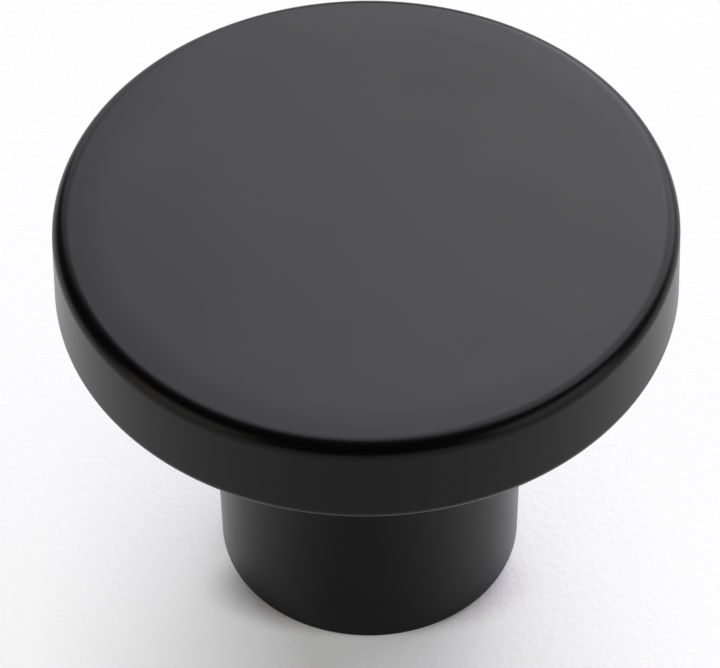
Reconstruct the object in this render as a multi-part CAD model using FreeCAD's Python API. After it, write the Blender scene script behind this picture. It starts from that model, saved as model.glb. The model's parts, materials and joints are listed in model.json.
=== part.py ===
"""Round cabinet knob, in millimetres: a flat disc head on a plain round stem, cast and
turned as one piece of zinc alloy, with a blind tapped hole up its axis for the screw that
comes through the door or drawer front.

The origin is the middle of the foot, on the face of the door. +Z runs along the knob's axis,
away from the door, so the foot lies at Z = 0 and the flat of the head at Z = PROJECTION.
"""

import FreeCAD, Part

import math
import os
from FreeCAD import Vector

# Head: the disc that the fingers pull on
HEAD_DIAMETER = 30.0  # at the flat
HEAD_THICKNESS = 5.0
HEAD_TOP_ROUNDING = 0.8  # soft edge round the flat
HEAD_UNDER_ROUNDING = 0.6  # smaller edge where the rim turns under
HEAD_EASE_WIDTH = 2.0  # polishing lets the flat fall away a little over this width
HEAD_EASE_DROP = 0.06  # how far it has fallen at the rim
HEAD_EASE_ROUNDING = 40.0  # long soft bend from the flat into the fall

# Stem: the post that holds the head off the door
PROJECTION = 23.0  # from the door to the flat of the head
STEM_DIAMETER = 15.0  # at the foot
FOOT_ROUNDING = 0.3

# The halves of the die meet at the underside of the head, and both parts narrow away from it
CASTING_DRAFT = 1.0

# Screw hole: an M4 coarse thread, drilled at the tapping size
THREAD_DIAMETER = 4.0
THREAD_PITCH = 0.7
HOLE_DEPTH = 12.0  # from the foot to the shoulder of the drill's point
DRILL_POINT_ANGLE = 118.0
COUNTERSINK_DIAMETER = 4.8  # wider than the thread, so that the screw starts cleanly
COUNTERSINK_ANGLE = 90.0

# Sizes that follow from the ones above
HEAD_UNDERSIDE = PROJECTION - HEAD_THICKNESS
DRAFT_SLOPE = math.tan(math.radians(CASTING_DRAFT))
HEAD_RADIUS = HEAD_DIAMETER / 2
RIM_RADIUS = HEAD_RADIUS + HEAD_THICKNESS * DRAFT_SLOPE
FOOT_RADIUS = STEM_DIAMETER / 2
NECK_RADIUS = FOOT_RADIUS + HEAD_UNDERSIDE * DRAFT_SLOPE
FLAT_RADIUS = HEAD_RADIUS - HEAD_EASE_WIDTH
RIM_TOP = PROJECTION - HEAD_EASE_DROP
TAPPING_RADIUS = (THREAD_DIAMETER - THREAD_PITCH) / 2
COUNTERSINK_RADIUS = COUNTERSINK_DIAMETER / 2

AXIS_FOOT = Vector(0, 0, 0)
AXIS_UP = Vector(0, 0, 1)
FULL_TURN = 360.0
SHARP = 0.0  # a corner that keeps its edge


def corner(radius, height, rounding=SHARP):
    """A corner of a half section: its distance from the axis, its height and its rounding."""
    return Vector(radius, 0, height), rounding


def rounded_outline(corners):
    """Closed wire through the corners, with a tangent arc at each one that has a rounding."""
    arcs = []
    for i, (point, rounding) in enumerate(corners):
        before = (corners[i - 1][0] - point).normalize()
        after = (corners[(i + 1) % len(corners)][0] - point).normalize()
        half_angle = before.getAngle(after) / 2
        setback = rounding / math.tan(half_angle)
        start = point + before * setback
        end = point + after * setback
        inward = (before + after).normalize()
        middle = point + inward * (rounding / math.sin(half_angle) - rounding)
        arcs.append((start, middle, end))

    edges = []
    for i, (start, middle, end) in enumerate(arcs):
        if (end - start).Length > 0:
            edges.append(Part.Arc(start, middle, end).toShape())
        next_start = arcs[(i + 1) % len(arcs)][0]
        edges.append(Part.LineSegment(end, next_start).toShape())
    return Part.Wire(edges)


def turned(corners):
    """Solid of revolution about the knob's axis, from the corners of its half section."""
    section = Part.Face(rounded_outline(corners))
    return section.revolve(AXIS_FOOT, AXIS_UP, FULL_TURN)


def blank():
    """Head and stem in one: the casting before its hole is drilled."""
    return turned(
        [
            corner(0, 0),
            corner(FOOT_RADIUS, 0, FOOT_ROUNDING),
            corner(NECK_RADIUS, HEAD_UNDERSIDE),
            corner(RIM_RADIUS, HEAD_UNDERSIDE, HEAD_UNDER_ROUNDING),
            corner(HEAD_RADIUS, RIM_TOP, HEAD_TOP_ROUNDING),
            corner(FLAT_RADIUS, PROJECTION, HEAD_EASE_ROUNDING),
            corner(0, PROJECTION),
        ]
    )


def screw_hole():
    """What the drill and the countersink take out: a wall at the tapping size, the cone that
    the drill's point leaves above it, and the bevel at the mouth."""
    point_height = TAPPING_RADIUS / math.tan(math.radians(DRILL_POINT_ANGLE / 2))
    bevel_slope = 1 / math.tan(math.radians(COUNTERSINK_ANGLE / 2))
    bevel_height = (COUNTERSINK_RADIUS - TAPPING_RADIUS) * bevel_slope
    return turned(
        [
            corner(0, 0),
            corner(COUNTERSINK_RADIUS, 0),
            corner(TAPPING_RADIUS, bevel_height),
            corner(TAPPING_RADIUS, HOLE_DEPTH),
            corner(0, HOLE_DEPTH + point_height),
        ]
    )


def knob():
    """The finished knob: one solid."""
    return blank().cut(screw_hole())


os.makedirs("parts", exist_ok=True)
knob().exportStep("parts/knob.step")
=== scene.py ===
"""Round matt black cabinet knob, standing on its foot on a pale board in soft studio light.

The CAD model holds the form. This script dresses it: it turns the same section as a dense,
smooth skin, cuts the M4 thread in its hole, and gives the coat and the bare metal their finish.
"""

import json
import math

import bpy
import numpy as np
from mathutils import Matrix, Vector


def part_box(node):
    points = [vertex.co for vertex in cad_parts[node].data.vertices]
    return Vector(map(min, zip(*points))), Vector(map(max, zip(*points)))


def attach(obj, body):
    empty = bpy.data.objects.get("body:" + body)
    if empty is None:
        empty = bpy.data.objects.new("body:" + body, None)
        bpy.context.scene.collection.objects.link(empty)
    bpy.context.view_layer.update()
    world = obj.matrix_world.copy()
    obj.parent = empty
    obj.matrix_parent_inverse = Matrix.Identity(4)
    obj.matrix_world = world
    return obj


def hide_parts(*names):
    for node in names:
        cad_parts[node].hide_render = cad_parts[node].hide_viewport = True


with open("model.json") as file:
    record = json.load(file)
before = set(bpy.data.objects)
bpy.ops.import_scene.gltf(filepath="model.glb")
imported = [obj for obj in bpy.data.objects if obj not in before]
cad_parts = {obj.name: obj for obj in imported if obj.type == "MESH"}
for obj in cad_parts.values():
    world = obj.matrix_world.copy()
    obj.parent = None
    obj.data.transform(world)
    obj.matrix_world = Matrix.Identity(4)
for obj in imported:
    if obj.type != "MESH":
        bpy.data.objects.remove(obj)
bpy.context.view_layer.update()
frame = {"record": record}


# Knob: a flat disc head on a plain round stem, die-cast in zinc as one piece. Its height and
# its hole come from the frame. Head and stem narrow a little away from the head's underside,
# where the halves of the die meet.
MM = 0.001
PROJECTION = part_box("knob")[1].z
HEAD_THICKNESS = 5.0 * MM
HEAD_UNDERSIDE = PROJECTION - HEAD_THICKNESS
CASTING_DRAFT = math.radians(1.0)
DRAFT_SLOPE = math.tan(CASTING_DRAFT)
HEAD_RADIUS = 15.0 * MM  # at the flat
RIM_RADIUS = HEAD_RADIUS + HEAD_THICKNESS * DRAFT_SLOPE
FOOT_RADIUS = 7.5 * MM
NECK_RADIUS = FOOT_RADIUS + HEAD_UNDERSIDE * DRAFT_SLOPE
HEAD_TOP_ROUNDING = 0.8 * MM
HEAD_UNDER_ROUNDING = 0.6 * MM
HEAD_EASE_WIDTH = 2.0 * MM  # polishing lets the flat fall away over this width
HEAD_EASE_DROP = 0.06 * MM
HEAD_EASE_ROUNDING = 40.0 * MM
HEAD_FAN_RADIUS = 6.0 * MM  # inside this the flat is one fan of triangles
FOOT_ROUNDING = 0.3 * MM

SCREW_HOLE = next(m for m in frame["record"]["mounts"] if m["name"] == "screw_hole")
TAPPING_RADIUS = SCREW_HOLE["dims"]["r_mm"] * MM
BEVEL_HEIGHT = SCREW_HOLE["pos_m"][2]  # the wall starts where the countersink ends
HOLE_DEPTH = BEVEL_HEIGHT + SCREW_HOLE["dims"]["length_mm"] * MM
COUNTERSINK_RADIUS = TAPPING_RADIUS + BEVEL_HEIGHT  # a 90 degree countersink
DRILL_POINT_ANGLE = math.radians(118)

THREAD_RADIUS = 2.0 * MM
THREAD_PITCH = 0.7 * MM
THREAD_FLANK_ANGLE = math.radians(30)
THREAD_ROOT_HALF_WIDTH = THREAD_PITCH / 16
THREAD_RUN_OUT = 1.4 * MM  # the tap's tapered lead, two turns long
TAP_CLEARANCE = 1.2 * MM  # the tap stops this far short of the drill's shoulder
THREAD_LENGTH = HOLE_DEPTH - TAP_CLEARANCE

SEGMENTS = 240  # round the axis
ARC_STEPS = 14  # along each rounding
ROWS_PER_PITCH = 16
EDGE_MARGIN = 0.06 * MM  # a row this far from each rounding keeps the flats flat in shading
SHARP_ANGLE = math.radians(35)  # an edge that turns by more than this is shaded sharp


def rounded_section(corners):
    """Rows of (radius, height) along a half section: straight runs from corner to corner,
    with an arc of the given radius tangent to both runs where a corner has a rounding.
    The arc is centre - inward * radius * cos(turn) + along * radius * sin(turn)."""
    rows = [np.array([corners[0][:2]])]
    for (r0, z0, _), (r1, z1, rounding), (r2, z2, _) in zip(corners, corners[1:], corners[2:]):
        point = np.array([r1, z1])
        if rounding == 0:
            rows.append([point])
            continue
        along = (point - [r0, z0]) / math.hypot(r1 - r0, z1 - z0)
        onward = (np.array([r2, z2]) - point) / math.hypot(r2 - r1, z2 - z1)
        turn = math.acos(along @ onward)
        setback = rounding * math.tan(turn / 2)
        inward = (onward - along * math.cos(turn)) / math.sin(turn)
        centre = point - along * setback + inward * rounding
        turns = np.linspace(0, turn, ARC_STEPS + 1)[:, None]
        rows.append([point - along * (setback + EDGE_MARGIN)])
        rows.append(centre - inward * rounding * np.cos(turns) + along * rounding * np.sin(turns))
        rows.append([point + onward * (setback + EDGE_MARGIN)])
    rows.append([corners[-1][:2]])
    return np.vstack(rows)


def tapped_wall(angles):
    """Radius and height over the hole's wall, on a grid of rows up the hole by angles round it.
    The height above the helix, height - pitch * angle / full turn, is folded to the distance
    from the nearest groove's middle. The groove is deepest there, rises along flanks at 30
    degrees, and fades over the tap's lead. The countersink cuts off what is left at the mouth."""
    start = COUNTERSINK_RADIUS - THREAD_RADIUS
    row_count = round((HOLE_DEPTH - start) / THREAD_PITCH * ROWS_PER_PITCH)
    heights = np.linspace(start, HOLE_DEPTH, row_count)[:, None] + 0 * angles
    turns_up = heights / THREAD_PITCH - angles / math.tau
    from_groove = np.abs((turns_up + 0.5) % 1 - 0.5) * THREAD_PITCH
    depth = THREAD_RADIUS - TAPPING_RADIUS
    flank = depth * math.tan(THREAD_FLANK_ANGLE)
    share = np.clip((THREAD_ROOT_HALF_WIDTH + flank - from_groove) / flank, 0, 1)
    fade = np.clip((THREAD_LENGTH - heights) / THREAD_RUN_OUT, 0, 1)
    bevel = COUNTERSINK_RADIUS - heights
    return np.maximum(TAPPING_RADIUS + depth * share * fade, bevel), heights


def turned_skin(name):
    """Closed skin of the knob: the section from the head's middle down to the countersink,
    carried round the axis, then the tapped wall and the cone that the drill's point left.
    A point is (radius * cos(angle), radius * sin(angle), height) on a grid of rows by angles."""
    angles = np.linspace(0, math.tau, SEGMENTS, endpoint=False)[None, :]
    section = rounded_section(
        [
            (HEAD_FAN_RADIUS, PROJECTION, 0),
            (HEAD_RADIUS - HEAD_EASE_WIDTH, PROJECTION, HEAD_EASE_ROUNDING),
            (HEAD_RADIUS, PROJECTION - HEAD_EASE_DROP, HEAD_TOP_ROUNDING),
            (RIM_RADIUS, HEAD_UNDERSIDE, HEAD_UNDER_ROUNDING),
            (NECK_RADIUS, HEAD_UNDERSIDE, 0),
            (FOOT_RADIUS, 0, FOOT_ROUNDING),
            (COUNTERSINK_RADIUS, 0, 0),
        ]
    )
    wall_radii, wall_heights = tapped_wall(angles)
    radii = np.vstack([section[:, :1] + 0 * angles, wall_radii])
    heights = np.vstack([section[:, 1:] + 0 * angles, wall_heights])
    grid = np.stack([radii * np.cos(angles), radii * np.sin(angles), heights], axis=-1)
    point_height = HOLE_DEPTH + TAPPING_RADIUS / math.tan(DRILL_POINT_ANGLE / 2)
    poles = [[0, 0, PROJECTION], [0, 0, point_height]]
    vertices = np.vstack([grid.reshape(-1, 3), poles])

    rows = len(radii)
    index = np.arange(rows * SEGMENTS).reshape(rows, SEGMENTS)
    beside = np.roll(index, -1, axis=1)
    quads = np.stack([index[:-1], index[1:], beside[1:], beside[:-1]], axis=-1).reshape(-1, 4)
    top_pole = np.full(SEGMENTS, rows * SEGMENTS)
    top_fan = np.stack([top_pole, index[0], beside[0]], axis=-1)
    hole_fan = np.stack([index[-1], top_pole + 1, beside[-1]], axis=-1)

    mesh = bpy.data.meshes.new(name)
    mesh.from_pydata(vertices.tolist(), [], quads.tolist() + top_fan.tolist() + hole_fan.tolist())
    # From the countersink inwards the metal is bare, and takes the second material
    in_hole = np.zeros(len(mesh.polygons), np.int32)
    in_hole[(len(section) - 1) * SEGMENTS : len(quads)] = 1
    in_hole[len(quads) + SEGMENTS :] = 1
    mesh.polygons.foreach_set("material_index", in_hole)
    mesh.shade_smooth()
    mesh.set_sharp_from_angle(angle=SHARP_ANGLE)
    skin = bpy.data.objects.new(name, mesh)
    bpy.context.scene.collection.objects.link(skin)
    return skin


def linear(hex_colour):
    """An sRGB hex colour as linear red, green and blue with full alpha."""
    srgb = np.array([int(hex_colour[i : i + 2], 16) for i in (1, 3, 5)]) / 255
    return (*np.where(srgb <= 0.04045, srgb / 12.92, ((srgb + 0.055) / 1.055) ** 2.4), 1.0)


def add_node(tree, kind, settings, links=()):
    """Adds a node. A setting goes to the node's property of that name, or else to its input
    of that name or number. A link joins an input to another node's output."""
    node = tree.nodes.new(kind)
    for key, value in settings.items():
        if isinstance(key, str) and hasattr(node, key):
            setattr(node, key, value)
        else:
            node.inputs[key].default_value = value
    for key, output in dict(links).items():
        tree.links.new(output, node.inputs[key])
    return node


def new_material(name):
    """An empty node material and its output node."""
    material = bpy.data.materials.new(name)
    material.use_nodes = True
    material.node_tree.nodes.clear()
    return material, add_node(material.node_tree, "ShaderNodeOutputMaterial", {})


def matt_black_coat():
    """Electrostatic powder coat, baked on: a near-black with a matting agent that spreads the
    shine without scattering it. It levels out almost flat, with an orange peel 0.4 mm across."""
    material, output = new_material("matt_black_powder_coat")
    tree = material.node_tree
    place = add_node(tree, "ShaderNodeTexCoord", {})
    peel = add_node(
        tree,
        "ShaderNodeTexNoise",
        {"Scale": 1 / (0.4 * MM), "Detail": 2.0, "Roughness": 0.4},
        {"Vector": place.outputs["Object"]},
    )
    peel_bump = add_node(
        tree,
        "ShaderNodeBump",
        {"Strength": 1.0, "Distance": 0.0006 * MM},
        {"Height": peel.outputs["Fac"]},
    )
    flow = add_node(
        tree,
        "ShaderNodeTexNoise",
        {"Scale": 1 / (6.0 * MM), "Detail": 3.0},
        {"Vector": place.outputs["Object"]},
    )
    sheen = add_node(
        tree,
        "ShaderNodeMapRange",
        {"From Min": 0.3, "From Max": 0.7, "To Min": 0.27, "To Max": 0.30},
        {"Value": flow.outputs["Fac"]},
    )
    coat = add_node(
        tree,
        "ShaderNodeBsdfPrincipled",
        {"Base Color": linear("#040404"), "IOR": 1.5, "Specular IOR Level": 0.15},
        {"Roughness": sheen.outputs["Result"], "Normal": peel_bump.outputs["Normal"]},
    )
    tree.links.new(coat.outputs["BSDF"], output.inputs["Surface"])
    return material


def tapped_zinc():
    """Zinc casting alloy, bare where the tap and the countersink cut through the coat: a
    bluish grey metal with fine tool marks round the hole, 0.05 mm apart."""
    material, output = new_material("tapped_zinc_alloy")
    tree = material.node_tree
    place = add_node(tree, "ShaderNodeTexCoord", {})
    stretch = add_node(
        tree,
        "ShaderNodeMapping",
        {"Scale": (0.1, 0.1, 1.0)},
        {"Vector": place.outputs["Object"]},
    )
    marks = add_node(
        tree,
        "ShaderNodeTexNoise",
        {"Scale": 1 / (0.05 * MM), "Detail": 2.0},
        {"Vector": stretch.outputs["Vector"]},
    )
    marks_bump = add_node(
        tree,
        "ShaderNodeBump",
        {"Strength": 1.0, "Distance": 0.001 * MM},
        {"Height": marks.outputs["Fac"]},
    )
    # Inputs 6 and 7 are the two colours that the node mixes
    tone = add_node(
        tree,
        "ShaderNodeMix",
        {"data_type": "RGBA", 6: linear("#8d9094"), 7: linear("#b4b7ba")},
        {"Factor": marks.outputs["Fac"]},
    )
    metal = add_node(
        tree,
        "ShaderNodeBsdfPrincipled",
        {"Metallic": 1.0, "Roughness": 0.35},
        {"Base Color": tone.outputs[2], "Normal": marks_bump.outputs["Normal"]},
    )
    tree.links.new(metal.outputs["BSDF"], output.inputs["Surface"])
    return material


knob = turned_skin("knob_skin")
knob.data.materials.append(matt_black_coat())
knob.data.materials.append(tapped_zinc())
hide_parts("knob")
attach(knob, "root")


# Board: the pale, finely grained surface that the knob stands on. It runs on far past the
# picture, so that it is also the background, and only its grain and the knob's shadow,
# darkened with painted shade, show on it.
BOARD_HALF_WIDTH = 3.0
BOARD_GAP = 0.01 * MM  # keeps the foot and the board from sharing a plane
BOARD_GRAIN = 0.45 * MM
BOARD_WHITENING = 0.78  # share of plain white where the board is seen or mirrored
SHADOW_WHITENING = 0.31  # less of it over a long oval in front of the knob: painted shade that deepens its shadow
SHADOW_MIDDLE = -10.0 * MM
SHADOW_HALF_WIDTH = 17.0 * MM
SHADOW_HALF_DEPTH = 56.1 * MM
SHADOW_CORE = 0.1765  # size of its darkest part, as a share of the whole
CONTACT_SHADE_SHARE = 0.2  # a fifth of what is left, in a small oval round the front of the foot: painted contact shade
CONTACT_MIDDLE = -4.0 * MM
CONTACT_HALF_WIDTH = 9.0 * MM
CONTACT_HALF_DEPTH = 3.8 * MM
CONTACT_CORE = 0.62


def rise_over_oval(tree, place, middle, half_width, half_depth, core, low, high, curve):
    """A value that is low in the core of an oval on the board and high past its edge. What
    share of the oval's size a point lies out is the length of the vector
    (x / half width, (y - middle) / half depth)."""
    scaled = add_node(
        tree,
        "ShaderNodeMapping",
        {"Location": (0, -middle / half_depth, 0), "Scale": (1 / half_width, 1 / half_depth, 0)},
        {"Vector": place.outputs["Object"]},
    )
    size = add_node(
        tree, "ShaderNodeVectorMath", {"operation": "LENGTH"}, {0: scaled.outputs["Vector"]}
    )
    rise = add_node(
        tree,
        "ShaderNodeMapRange",
        {
            "interpolation_type": curve,
            "From Min": core,
            "From Max": 1.0,
            "To Min": low,
            "To Max": high,
        },
        {"Value": size.outputs["Value"]},
    )
    return rise.outputs["Result"]


def pale_board():
    """Laminate pressed with a fine leather grain: off-white, dull, with shallow pits."""
    material, output = new_material("grained_white_laminate")
    tree = material.node_tree
    place = add_node(tree, "ShaderNodeTexCoord", {})
    grain = add_node(
        tree,
        "ShaderNodeTexNoise",
        {"Scale": 1 / BOARD_GRAIN, "Detail": 3.0, "Roughness": 0.6},
        {"Vector": place.outputs["Object"]},
    )
    grain_bump = add_node(
        tree,
        "ShaderNodeBump",
        {"Strength": 1.0, "Distance": 0.07 * MM},
        {"Height": grain.outputs["Fac"]},
    )
    laminate = add_node(
        tree,
        "ShaderNodeBsdfPrincipled",
        {"Base Color": linear("#e6e6ea"), "Roughness": 0.7, "Specular IOR Level": 0.2},
        {"Normal": grain_bump.outputs["Normal"]},
    )
    white = add_node(tree, "ShaderNodeEmission", {"Color": linear("#ffffff"), "Strength": 1.0})
    ray = add_node(tree, "ShaderNodeLightPath", {})
    seen = ray.outputs["Is Camera Ray"]
    for kind in ("Is Glossy Ray", "Is Transmission Ray"):
        either = add_node(tree, "ShaderNodeMath", {"operation": "MAXIMUM", 0: 0.0}, {1: seen})
        tree.links.new(ray.outputs[kind], either.inputs[0])
        seen = either.outputs["Value"]
    # Seen or mirrored, the board is partly plain white. The share is cut over an oval in front of
    # the knob, which paints the knob's shadow darker there.
    white_share_with_painted_shadow = rise_over_oval(
        tree,
        place,
        SHADOW_MIDDLE,
        SHADOW_HALF_WIDTH,
        SHADOW_HALF_DEPTH,
        SHADOW_CORE,
        SHADOW_WHITENING,
        BOARD_WHITENING,
        "LINEAR",
    )
    # A second, small oval round the front of the foot cuts the white share further: painted contact
    # shade.
    painted_contact_shade = rise_over_oval(
        tree,
        place,
        CONTACT_MIDDLE,
        CONTACT_HALF_WIDTH,
        CONTACT_HALF_DEPTH,
        CONTACT_CORE,
        CONTACT_SHADE_SHARE,
        1.0,
        "SMOOTHSTEP",
    )
    # Both ovals multiply into the white's share, so the painted shade also shows where the knob
    # mirrors the board.
    share = seen
    for factor in (white_share_with_painted_shadow, painted_contact_shade):
        product = add_node(tree, "ShaderNodeMath", {"operation": "MULTIPLY"}, {0: share, 1: factor})
        share = product.outputs["Value"]
    lifted = add_node(
        tree,
        "ShaderNodeMixShader",
        {},
        {0: share, 1: laminate.outputs["BSDF"], 2: white.outputs["Emission"]},
    )
    tree.links.new(lifted.outputs["Shader"], output.inputs["Surface"])
    return material


board_mesh = bpy.data.meshes.new("board")
board_mesh.from_pydata(
    [
        (x * BOARD_HALF_WIDTH, y * BOARD_HALF_WIDTH, -BOARD_GAP)
        for x, y in ((-1, -1), (1, -1), (1, 1), (-1, 1))
    ],
    [],
    [(0, 1, 2, 3)],
)
board = bpy.data.objects.new("board", board_mesh)
bpy.context.scene.collection.objects.link(board)
board.data.materials.append(pale_board())


# Light: one large softbox behind the knob and to its right, a smaller one beside it that
# brightens the flat of the head, a weaker one behind the knob to the left, and a pale
# reflector at each side. The room round them is dark and a little warm.
LAMP_DISTANCE = 1.0
ROOM_BRIGHTNESS = 0.058


def softbox(name, azimuth, elevation, width, height, radiance, colour):
    """Rectangular lamp that faces the knob. Azimuth is in degrees to the right of straight
    behind the knob, and radiance is the brightness of the lamp's face, where lit white paper
    is about 1."""
    a, e = math.radians(azimuth), math.radians(elevation)
    towards = Vector((math.sin(a) * math.cos(e), math.cos(a) * math.cos(e), math.sin(e)))
    lamp = bpy.data.lights.new(name, "AREA")
    lamp.shape = "RECTANGLE"
    lamp.size = width
    lamp.size_y = height
    lamp.energy = radiance * math.pi * width * height
    lamp.color = linear(colour)[:3]
    holder = bpy.data.objects.new(name, lamp)
    turn = towards.to_track_quat("Z", "Y").to_matrix().to_4x4()
    holder.matrix_world = Matrix.Translation(towards * LAMP_DISTANCE) @ turn
    holder.visible_camera = False
    bpy.context.scene.collection.objects.link(holder)


softbox("main_softbox", 35, 43, 1.00, 1.45, 3.70, "#f9f6ff")
softbox("inner_softbox", 8, 36, 0.50, 0.65, 3.3, "#f9f6ff")
softbox("left_softbox", -20, 26, 0.50, 0.70, 2.3, "#f9f6ff")
softbox("left_reflector", -118, 17, 0.75, 0.60, 1.45, "#fffaf5")
softbox("right_reflector", 118, 17, 0.75, 0.60, 1.9, "#fffdfa")

room = bpy.data.worlds.new("dim_warm_room")
room.use_nodes = True
walls = room.node_tree.nodes["Background"]
walls.inputs["Color"].default_value = linear("#ffe8d2")
walls.inputs["Strength"].default_value = ROOM_BRIGHTNESS
bpy.context.scene.world = room


# Camera: a long lens, 250 mm from the knob and looking down on it from the front. Pan, tilt
# and roll are the small turns that bring the knob to its place in the frame.
CAMERA_LENS = 254.33
CAMERA_DISTANCE = 251.22 * MM
CAMERA_AIM_HEIGHT = 11.25 * MM
CAMERA_ELEVATION = math.radians(48.22)
CAMERA_PAN = math.radians(0.084)
CAMERA_TILT = math.radians(0.479)
CAMERA_ROLL = math.radians(0.725)

level = Matrix.Rotation(math.pi / 2 - CAMERA_ELEVATION, 4, "X")
back_off = Matrix.Translation((0, 0, CAMERA_DISTANCE))
aim = Matrix.Translation((0, 0, CAMERA_AIM_HEIGHT))
pan = Matrix.Rotation(CAMERA_PAN, 4, "Y")
tilt = Matrix.Rotation(CAMERA_TILT, 4, "X")
roll = Matrix.Rotation(-CAMERA_ROLL, 4, "Z")
lens = bpy.data.cameras.new("camera")
lens.lens = CAMERA_LENS
lens.sensor_width = 36.0
lens.clip_start = 10 * MM
lens.clip_end = 20.0
camera = bpy.data.objects.new("camera", lens)
camera.matrix_world = aim @ level @ back_off @ pan @ tilt @ roll
bpy.context.scene.collection.objects.link(camera)
bpy.context.scene.camera = camera
bpy.context.scene.view_settings.view_transform = "Standard"
